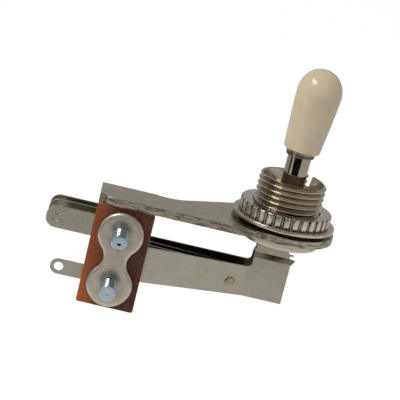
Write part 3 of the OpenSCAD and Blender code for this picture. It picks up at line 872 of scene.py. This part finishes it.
@dataclass
class NutAndWashers(SubAssembly):
    """Lock washer, flat washer and fluted ring nut round the bushing."""

    bore_r: float = 6.08
    washer_r: float = 9.14
    washer_z: float = 0.6
    washer_t: float = 0.62
    nut_r: float = 8.17
    nut_h: float = 2.1
    flutes: int = 32
    flute_depth: float = 0.36
    flute_half: float = 0.30
    edge: float = 0.36
    barrel: float = 0.03
    cols_per_flute: int = 14

    def nut_surface(self) -> tuple[np.ndarray, np.ndarray]:
        """Works out the nut: a rounded rectangle turned about Z, whose radius is nowhere more than
        the nut's radius less a raised cosine in the middle of each flute and a slight barrel, which
        grows with the square of the height above or below the middle.

        Returns:
            Points and faces.
        """
        cols = self.flutes * self.cols_per_flute
        base = self.washer_z + self.washer_t
        top = base + self.nut_h
        profile = eased(
            [[self.bore_r, base], [self.nut_r, base], [self.nut_r, top], [self.bore_r, top]],
            [0.1, self.edge, self.edge, 0.22], 8, True,
        )
        share = np.mod(np.arange(cols) / self.cols_per_flute, 1.0) - 0.5
        dip = 0.5 + 0.5 * np.cos(math.pi * np.clip(share / self.flute_half, -1, 1))
        limit = self.nut_r - self.flute_depth * dip[None, :]
        swell = self.barrel * (2 * (profile[:, 1:] - base) / self.nut_h - 1) ** 2
        radius = np.minimum(profile[:, :1], limit - swell)
        return turned(radius, profile[:, 1:], cols), grid_faces(len(profile), cols, True)

    def build(self) -> None:
        """Builds the nut and the flat washer, and dresses the lock washer."""
        nut = new_piece("fluted_nut", *self.nut_surface(), sharp=50)
        self.seat(nut, Body.BODY, Slot.BRIGHT_NICKEL, "fluted", "ring_nut")
        top = self.washer_z + self.washer_t
        ring = eased(
            [[self.bore_r, self.washer_z], [self.washer_r, self.washer_z],
             [self.washer_r, top], [self.bore_r, top]],
            [0.05, 0.14, 0.24, 0.08], 6, True,
        )
        washer = turned_piece("flat_washer_ring", ring, 160, True)
        self.seat(washer, Body.BODY, Slot.BRIGHT_NICKEL, "bright", "flat_washer")
        # the lock washer takes painted shade: it stands for the shadowed gap under the flat washer
        self.dress_node("lock_washer", "dark")


@dataclass
class Lever(SubAssembly):
    """Rocking lever with its cream tip, its collar, its fork and the roller."""

    tip_z: float = 13.4
    tip_len: float = 14.85
    tip_r: float = 3.95
    foot_r: float = 3.25
    crown: float = 4.2
    foot_round: float = 0.55
    lean: float = 2.7
    recess_r: float = 2.75
    recess_d: float = 0.3
    rod_r: float = 2.08
    rod_z: float = 3.1
    rod_gap: float = 0.3
    collar_r: float = 2.62
    collar_t: float = 0.38
    collar_gap: float = 0.14
    collar_neck: float = 0.28
    collar_step: float = 0.1
    collar_in: float = 0.25

    def rod_profile(self) -> np.ndarray:
        """Works out the rod's half section, which rises from the ball into the collars.

        Returns:
            Radius and height.
        """
        top = self.tip_z - self.rod_gap
        return eased(
            [[0, self.rod_z], [self.rod_r, self.rod_z], [self.rod_r, top], [0, top]], [0, 0.3, 0.05, 0],
        )

    def collar_profile(self) -> np.ndarray:
        """Works out the half section of the two thin collars under the tip, with a groove between.

        Returns:
            Radius and height.
        """
        neck, small = self.collar_r - self.collar_neck, self.collar_r - self.collar_step
        low = self.tip_z - 2 * self.collar_t - self.collar_gap
        mid = low + self.collar_t
        high, top = mid + self.collar_gap, self.tip_z + self.collar_in
        return eased(
            [[0, low], [small, low], [small, mid], [neck, mid],
             [neck, high], [self.collar_r, high], [self.collar_r, top], [0, top]],
            [0, 0.13, 0.13, 0.03, 0.03, 0.13, 0.05, 0],
        )

    def tip_profile(self) -> np.ndarray:
        """Works out the tip's half section from the recess under it to the crown: the side widens
        from the foot, fast at first and slower towards the crown, which is a superellipse.

        Returns:
            Radius and height above the tip's underside.
        """
        turn = np.radians(np.linspace(-90, 0, 7))
        foot = np.stack([
            self.foot_r - self.foot_round + self.foot_round * np.cos(turn),
            self.foot_round + self.foot_round * np.sin(turn),
        ], -1)
        base = self.tip_len - self.crown
        share = np.linspace(0, 1, 22)[1:-1]
        side = np.stack([
            self.foot_r + (self.tip_r - self.foot_r) * (1.25 * share - 0.25 * share**3),
            self.foot_round + (base - self.foot_round) * share,
        ], -1)
        rise = np.radians(np.linspace(0, 90, 26))
        crown = np.stack([
            self.tip_r * np.cos(rise) ** 0.94, base + self.crown * np.sin(rise) ** 1.06,
        ], -1)
        crown[-1, 0] = 0
        under = np.array([[0, self.recess_d], [self.recess_r, self.recess_d], [self.recess_r, 0.04],
                          [self.recess_r + 0.06, 0]])
        return np.vstack([under, foot[1:], side, crown])

    def build(self) -> None:
        """Builds the tip and the rounded lever, and dresses roller and pin."""
        tip = turned_piece("cream_tip", self.tip_profile(), 96, False, 40)
        lean = Matrix.Rotation(math.radians(self.lean), 4, "Y")
        tip.data.transform(Matrix.Translation((0, 0, self.tip_z * MM)) @ lean)
        self.seat(tip, Body.LEVER, Slot.CREAM, "cream", "tip")
        bar = finished_copy("lever", "lever_fork", 0.09)
        self.seat(bar, Body.LEVER, Slot.BRIGHT_NICKEL, "bright", "lever")
        rod = turned_piece("lever_rod", self.rod_profile(), 96, False, 40)
        self.seat(rod, Body.LEVER, Slot.BRIGHT_NICKEL, "polished", "lever")
        collar = turned_piece("tip_collar", self.collar_profile(), 96, False, 40)
        # the collar takes painted shade: a darker nickel for the shade and dark reflection under the
        # tip
        self.seat(collar, Body.LEVER, Slot.BRIGHT_NICKEL, "collar", "lever")
        roller = finished_copy("roller", "fork_roller", 0.1)
        self.seat(roller, Body.LEVER, Slot.FIBRE, "fibre", "roller")
        self.dress_node("roller_pin", "steel")


@dataclass
class FrameSheet(SubAssembly):
    """Pressed frame: round end, arm and flange, with rounded and slightly rolled edges."""

    edge: float = 0.26

    def build(self) -> None:
        """Builds the frame's rounded sheet."""
        sheet = finished_copy("frame", "frame_sheet", self.edge, 3)
        self.seat(sheet, Body.BODY, Slot.NICKEL, "sheet", "frame")


@dataclass
class LeafStack(SubAssembly):
    """Four contact leaves with their rivets, and the boards between them."""

    leaf_t: float = 0.4
    leaf_edge: float = 0.07
    board_edge: float = 0.08
    contact_x: float = 6.7
    contact_z: float = 11.8
    contact_r: float = 0.95
    contact_h: float = 0.45
    contact_gap: float = 0.1
    rivet_h: float = 0.2
    rivet_r: float = 0.5
    slant_x0: float = -21.85
    slant_x1: float = -4.1
    leaf_close: float = 2.3
    outer_y: Span = (-1.0, 7.6)
    inner_y: Span = (-3.6, 5.8)

    def rivet(self, name: str, middle: Span, slope: float, side: float) -> bpy.types.Object:
        """Builds one contact rivet: a disc on one face of the leaf and a low dished head on the other.

        Args:
            name: Name of the piece.
            middle: Place of the leaf's mid plane there, along X and Y.
            slope: Turn of the leaf about Z in degrees.
            side: 1 if the disc faces +Y, -1 if it faces -Y.

        Returns:
            The new object.
        """
        half = self.leaf_t / 2
        r = self.contact_r
        profile = eased(
            [[0, half + self.contact_h], [r, half + self.contact_h], [r, half], [self.rivet_r, half],
             [self.rivet_r, -half], [r, -half], [r, -half - self.rivet_h * 0.6],
             [r * 0.74, -half - self.rivet_h], [0, -half - self.rivet_h * 0.9]],
            [0, 0.16, 0.02, 0.02, 0.02, 0.02, 0.04, 0.1, 0],
        )
        obj = turned_piece(name, profile, 48, False)
        face = Matrix.Rotation(math.radians(-90 * side), 4, "X")
        place = Matrix.Translation((middle[0] * MM, middle[1] * MM, -self.contact_z * MM))
        obj.data.transform(place @ Matrix.Rotation(math.radians(slope), 4, "Z") @ face)
        return obj

    def build(self) -> None:
        """Builds leaves, rivets and boards. The rear side is worked out as drawn, and the front side
        is its mirror image. Only the foremost leaf is without painted shade; the others take painted
        shade on their front faces between the leaves."""
        span = self.leaf_t + 2 * self.contact_h + self.contact_gap
        for side, outer, inner, mirror in zip(("rear", "front"), self.outer_y, self.inner_y, (1, -1)):
            slope = math.atan((self.leaf_close - outer) / (self.slant_x1 - self.slant_x0))
            at_outer = outer - (self.contact_x + self.slant_x0) * math.tan(slope)
            at_inner = at_outer - span / math.cos(slope)
            lean = math.atan((at_inner - inner) / (-self.contact_x - self.slant_x0))
            pairs = (("outer", at_outer, slope, -1), ("inner", at_inner, lean, 1))
            for which, place, turn, facing in pairs:
                label = f"{side}_{which}"
                rivet = self.rivet(
                    f"{label}_rivet", (-self.contact_x, mirror * place),
                    math.degrees(turn) * mirror, facing * mirror,
                )
                self.seat(rivet, Body.BODY, Slot.SILVER, "silver", f"{label}_contact")
                leaf = finished_copy(f"{label}_leaf", f"{label}_spring", self.leaf_edge)
                # every leaf but the foremost takes the finish with painted shade between the leaves
                finish = "leaf" if label == "front_outer" else "inner_leaf"
                self.seat(leaf, Body.BODY, Slot.NICKEL, finish, f"{label}_leaf")
        for node in ("front_board", "front_spacer", "middle_spacer", "rear_spacer", "rear_board"):
            board = finished_copy(node, f"{node}_sheet", self.board_edge)
            self.seat(board, Body.BODY, Slot.PHENOLIC, "phenolic", node)


@dataclass
class Clamp(SubAssembly):
    """Clamp plate in the form of a figure of eight, and the two screws through the stack."""

    x: float = -27.175
    z: float = -10.625
    half_pitch: float = 4.6
    lobe_r: float = 4.0
    waist: float = 4.3
    plate_t: float = 1.3
    back_y: float = -8.6
    edge: float = 0.6
    back_edge: float = 0.15
    dish: float = 0.1
    dish_r: float = 1.5
    dish_w: float = 0.75
    screw_r: float = 1.45
    root_r: float = 1.22
    screw_pitch: float = 0.7
    point_r: float = 1.28
    point_slope: float = 0.9
    tail_y: float = -13.8
    head_y: float = 1.4
    head_r: float = 2.6
    head_h: float = 1.7
    slot_w: float = 0.6
    slot_d: float = 0.8
    cols: int = 64
    lobe_steps: int = 73
    waist_steps: int = 25

    def outline(self) -> tuple[np.ndarray, np.ndarray]:
        """Works out the figure of eight: arcs of the two lobes, joined by arcs that touch both.

        Returns:
            Points of the outline about the plate's middle, and its outward normals.
        """
        half, mid, r = self.waist / 2, self.half_pitch, self.lobe_r
        fillet = (mid * mid + half * half - r * r) / (2 * (r - half))
        centre = half + fillet
        touch = math.atan2(mid, centre)
        arcs = (
            (0, mid, r, -touch, math.pi + touch, 1), (-centre, 0, fillet, touch, -touch, -1),
            (0, -mid, r, math.pi - touch, 2 * math.pi + touch, 1),
            (centre, 0, fillet, math.pi + touch, math.pi - touch, -1),
        )
        points, normals = [], []
        for cx, cz, radius, start, end, out in arcs:
            count = self.lobe_steps if out > 0 else self.waist_steps
            a = np.linspace(start, end, count)[:-1]
            ray = np.stack([np.cos(a), np.sin(a)], -1)
            points.append(np.array([cx, cz]) + radius * ray)
            normals.append(out * ray)
        return np.vstack(points), np.vstack(normals)

    def plate_surface(self) -> tuple[np.ndarray, np.ndarray]:
        """Works out the plate as rings of the outline: from the line between the screws out over the
        front face, down its quarter round to the side, and back over the rear face to that line.
        The front dips a little in a ring round each screw, by a bell curve of the distance from it.

        Returns:
            Points and faces.
        """
        line, normal = self.outline()
        along = np.clip(line[:, 1], -self.half_pitch, self.half_pitch)
        spine = np.stack([np.zeros(len(line)), along], -1)
        front = self.back_y - self.plate_t
        rings = []
        inner = line - self.edge * normal
        for share in np.linspace(0, 1, 16):
            ring = spine + (inner - spine) * share
            away = np.minimum(
                np.hypot(ring[:, 0], ring[:, 1] - self.half_pitch),
                np.hypot(ring[:, 0], ring[:, 1] + self.half_pitch),
            )
            deep = self.dish * np.exp(-((away - self.dish_r) / self.dish_w) ** 2)
            rings.append(np.column_stack([ring[:, 0], front + deep, ring[:, 1]]))
        for a in np.radians(np.linspace(0, 90, 9))[1:]:
            ring = line - self.edge * (1 - math.sin(a)) * normal
            y = np.full(len(ring), front + self.edge * (1 - math.cos(a)))
            rings.append(np.column_stack([ring[:, 0], y, ring[:, 1]]))
        for inset, y in ((0, self.back_y - self.back_edge), (self.back_edge, self.back_y)):
            ring = line - inset * normal
            rings.append(np.column_stack([ring[:, 0], np.full(len(ring), y), ring[:, 1]]))
        rings.append(np.column_stack([spine[:, 0], np.full(len(line), self.back_y), spine[:, 1]]))
        points = np.vstack(rings) + np.array([self.x, 0, self.z])
        return points, grid_faces(len(rings), len(line))

    def screw_surface(self, middle_z: float) -> tuple[np.ndarray, np.ndarray]:
        """Works out a screw turned about its own axis along Y: domed head, shank, and a tail whose
        radius is the root plus the flank height at (depth / pitch - angle).

        Args:
            middle_z: Height of the screw's axis.

        Returns:
            Points and faces.
        """
        angle = np.arange(self.cols)[None, :] / self.cols
        full = np.ones_like(angle)
        crown, shank_r = self.head_y + self.head_h, self.screw_r - 0.02
        head = eased(
            [[0, crown], [self.head_r * 0.66, crown - 0.06], [self.head_r, crown - self.head_h * 0.55],
             [self.head_r, self.head_y], [shank_r, self.head_y], [shank_r, self.back_y]],
            [0, 0.5, 0.4, 0.08, 0.05, 0],
        )
        run = np.linspace(self.back_y - 0.2, self.tail_y + 0.12, 130)[:, None]
        flank = thread_shape(run / self.screw_pitch + angle)
        radius = self.root_r + (self.screw_r - self.root_r) * flank
        radius = np.minimum(radius, self.point_r + (run - self.tail_y) * self.point_slope)
        end = eased(
            [[self.point_r + 0.02, self.tail_y + 0.1], [self.point_r - 0.04, self.tail_y],
             [0.5, self.tail_y], [0, self.tail_y + 0.06]],
            [0, 0.04, 0.2, 0],
        )
        radii = np.vstack([head[:, :1] * full, radius, end[:, :1] * full])
        depths = np.vstack([head[:, 1:] * full, run * full, end[:, 1:] * full])
        about = turned(radii, depths, self.cols)
        points = np.stack([about[:, 0] + self.x, about[:, 2], middle_z - about[:, 1]], -1)
        return points, grid_faces(len(radii), self.cols)

    def build(self) -> None:
        """Builds the plate and the two slotted screws."""
        plate = new_piece("clamp_eight", *self.plate_surface(), sharp=40)
        self.seat(plate, Body.BODY, Slot.CLAMP_STEEL, "clamp", "clamp_plate")
        crown, past = self.head_y + self.head_h, self.head_r + 1.4
        for name, side in (("upper_screw", 1), ("lower_screw", -1)):
            middle = self.z + side * self.half_pitch
            screw = new_piece(name, *self.screw_surface(middle), sharp=40)
            carved(
                screw, Vector((self.x - past, crown - self.slot_d, middle - self.slot_w / 2)),
                Vector((self.x + past, crown + 1, middle + self.slot_w / 2)),
            )
            self.seat(screw, Body.BODY, Slot.ZINC, "zinc", "screws")
        self.dress_node("screw_sleeves", "fibre")


# ---------------------------------------------------------------- studio


@dataclass
class Studio:
    """Camera, lamps, white surroundings, pale floor and the dark flags that give metal its contrast."""

    aim: tuple[float, float, float] = (-14.99, 0.0, 0.56)
    distance: float = 288.6
    azimuth: float = -3.19
    elevation: float = 15.86
    roll: float = 14.05
    lens: float = 148.27
    sensor: float = 36.0
    floor_z: float = -90.0
    floor_reach: float = 1500.0
    floor_glow: float = 1.06
    floor_share: float = 0.9
    surround: float = 0.45
    ring: float = 200.0
    ceiling_z: float = 170.0
    ceiling_tone: float = 0.26
    pane_half: float = 22.0
    pane_z: float = 165.0
    pane_tone: float = 9.0
    PANES: ClassVar[tuple[Span, ...]] = (
        (-168.0, -76.0), (-112.0, -76.0), (-140.0, -116.0), (-140.0, -36.0),
    )
    # Each column of cards: its span of azimuth, 0 in front and 90 to the right, and its cards from
    # the bottom, with lower edge, upper edge and grey.
    COLUMNS: ClassVar[tuple[tuple[Span, tuple[tuple[float, float, float], ...]], ...]] = (
        ((-48, 27), ((-90, -39, 0.84), (-39, -8, 0.01), (-8, 170, 0.55))),
        ((27, 60), ((-90, -46, 0.86), (-46, 170, 0.66))),
        ((60, 105), ((-90, -46, 0.90), (-46, 170, 0.66))),
        ((105, 150), ((-90, 30, 0.60), (30, 170, 0.46))),
        ((150, 190), ((-90, 30, 0.58), (30, 170, 0.42))),
        ((190, 230), ((-90, 30, 0.55), (30, 170, 0.42))),
        ((230, 262), ((-90, 170, 0.45),)),
        ((262, 276), ((-90, 170, 0.42),)),
        ((276, 292), ((-90, -72, 0.6), (-72, -27, 0.01), (-27, 170, 0.5))),
        ((292, 312), ((-90, 170, 0.70),)),
    )

    SQUARE: ClassVar[np.ndarray] = np.array([[-1, -1], [1, -1], [1, 1], [-1, 1]])

    @staticmethod
    def toward(azimuth: float, elevation: float) -> Vector:
        """Gives the direction from the switch to an azimuth and elevation in degrees."""
        a, e = math.radians(azimuth), math.radians(elevation)
        return Vector((math.sin(a) * math.cos(e), -math.cos(a) * math.cos(e), math.sin(e)))

    def camera(self) -> None:
        """Sets the camera where the photograph was taken from."""
        a, r = math.radians(self.azimuth), math.radians(self.roll)
        back = self.toward(self.azimuth, self.elevation)
        level = Vector((math.cos(a), math.sin(a), 0))
        rise = back.cross(level)
        right = math.cos(r) * level + math.sin(r) * rise
        up = -math.sin(r) * level + math.cos(r) * rise
        data = bpy.data.cameras.new("camera")
        data.lens, data.sensor_width, data.sensor_fit = self.lens, self.sensor, "HORIZONTAL"
        data.clip_start, data.clip_end = 0.01, 20.0
        obj = bpy.data.objects.new("camera", data)
        spot = (Vector(self.aim) + back * self.distance) * MM
        turn = Matrix((right, up, back)).transposed().to_4x4()
        obj.matrix_world = Matrix.Translation(spot) @ turn
        bpy.context.scene.collection.objects.link(obj)
        bpy.context.scene.camera = obj

    def lamp(
        self, name: str, azimuth: float, elevation: float, away: float, size: float, power: float
    ) -> None:
        """Places a square soft white lamp that faces the switch.

        Args:
            name: Name of the lamp.
            azimuth: Direction it stands in, 0 in front and 90 to the right, in degrees.
            elevation: Height above the horizon in degrees.
            away: Distance in metres.
            size: Side of the lamp in metres.
            power: Power in watts.
        """
        back = self.toward(azimuth, elevation)
        data = bpy.data.lights.new(name, "AREA")
        data.shape, data.size, data.energy = "SQUARE", size, power
        obj = bpy.data.objects.new(name, data)
        obj.location = Vector(self.aim) * MM + back * away
        obj.rotation_mode = "QUATERNION"
        obj.rotation_quaternion = (-back).to_track_quat("-Z", "Y")
        bpy.context.scene.collection.objects.link(obj)

    def surroundings(self) -> None:
        """Makes the world white to the camera and in reflections, and softly bright as a light."""
        w = Wiring(bpy.data.worlds.new("surround"))
        light = w.shader("ShaderNodeBackground", Color=(0.97, 0.98, 1.0, 1), Strength=self.surround)
        white = w.shader("ShaderNodeBackground", Color=(1, 1, 1, 1), Strength=1.0)
        seen = w.seen_by("Is Camera Ray", "Is Glossy Ray", "Is Transmission Ray")
        bpy.context.scene.world = w.close(w.mixed(seen, light, white))

    def sheet(self, name: str, corners: np.ndarray, material: bpy.types.Material) -> bpy.types.Object:
        """Makes a flat stage sheet from its four corners in millimetres.

        Args:
            name: Name of the sheet.
            corners: Its corners in order.
            material: Its material.

        Returns:
            The new object, marked as stage.
        """
        mesh = bpy.data.meshes.new(name)
        mesh.from_pydata((corners * MM).tolist(), [], [[0, 1, 2, 3]])
        mesh.materials.append(material)
        obj = bpy.data.objects.new(name, mesh)
        bpy.context.scene.collection.objects.link(obj)
        return obj

    def floor(self) -> None:
        """Lays the pale floor: mostly plain white, and a share of shading that keeps the shadow."""
        w = Wiring(bpy.data.materials.new("pale_floor"))
        cloth = w.shader("ShaderNodeBsdfDiffuse", Color=(0.86, 0.86, 0.86, 1))
        glow = w.shader("ShaderNodeEmission", Strength=self.floor_glow)
        seen = w.times(w.seen_by("Is Camera Ray", "Is Glossy Ray"), self.floor_share)
        corners = self.SQUARE * self.floor_reach
        self.sheet(
            "floor", np.column_stack([corners, np.full(4, self.floor_z)]),
            w.close(w.mixed(seen, cloth, glow)),
        )

    def wall(self, azimuths: Span, low: float, high: float, tone: float) -> None:
        """Stands a plain card on the ring round the switch. Only reflections see it, as grey as its
        tone, so it gives the metal its dark and light bands and neither lights nor shades anything.

        Args:
            azimuths: Directions of its two ends, 0 in front and 90 to the right, in degrees.
            low: Height of its lower edge in millimetres.
            high: Height of its upper edge.
            tone: Grey of the card, from 0 to 1.
        """
        ends = np.radians(azimuths)
        x, y = np.sin(ends) * self.ring, -np.cos(ends) * self.ring
        ends_twice, heights = [0, 1, 1, 0], [low, low, high, high]
        self.card(np.column_stack([x[ends_twice], y[ends_twice], heights]), tone)

    def card(self, corners: np.ndarray, tone: float) -> None:
        """Makes a plain glowing card that only reflections see.

        Args:
            corners: Its corners in order, in millimetres.
            tone: Grey of the card, from 0 to 1.
        """
        w = Wiring(bpy.data.materials.new("card"))
        glow = w.shader("ShaderNodeEmission", Color=(tone, tone * 0.985, tone * 0.955, 1))
        material = w.close(glow)
        obj = self.sheet("card", corners, material)
        obj.visible_camera = obj.visible_diffuse = obj.visible_shadow = False

    def overhead(self, middle: Span, half: float, level: float, tone: float) -> None:
        """Hangs a level square card over the switch, which only reflections see.

        Args:
            middle: Place of its middle along X and Y in millimetres.
            half: Half its side.
            level: Height of the card.
            tone: Grey of the card, or its brightness above 1.
        """
        corners = self.SQUARE * half + np.array(middle)
        self.card(np.column_stack([corners, np.full(4, level)]), tone)

    def build(self) -> None:
        """Sets up the whole studio."""
        self.camera()
        self.surroundings()
        self.floor()
        self.lamp("key_lamp", azimuth=-60, elevation=48, away=0.55, size=0.28, power=1.7)
        self.lamp("fill_lamp", azimuth=70, elevation=25, away=0.60, size=0.35, power=0.2)
        for azimuths, cards in self.COLUMNS:
            for card in cards:
                self.wall(azimuths, *card)
        self.overhead((0.0, 0.0), self.ring, self.ceiling_z, self.ceiling_tone)
        for middle in self.PANES:
            self.overhead(middle, self.pane_half, self.pane_z, self.pane_tone)
        bpy.context.scene.view_settings.view_transform = "Standard"


def main() -> None:
    """Builds the studio and the switch."""
    logging.basicConfig(level=logging.INFO, format="%(name)s: %(message)s")
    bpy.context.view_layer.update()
    Studio().build()
    for part in (FrameSheet(), Bushing(), NutAndWashers(), Lever(), LeafStack(), Clamp()):
        LOG.info("sub-assembly %s", type(part).__name__)
        part.build()


if __name__ == "__main__":
    main()
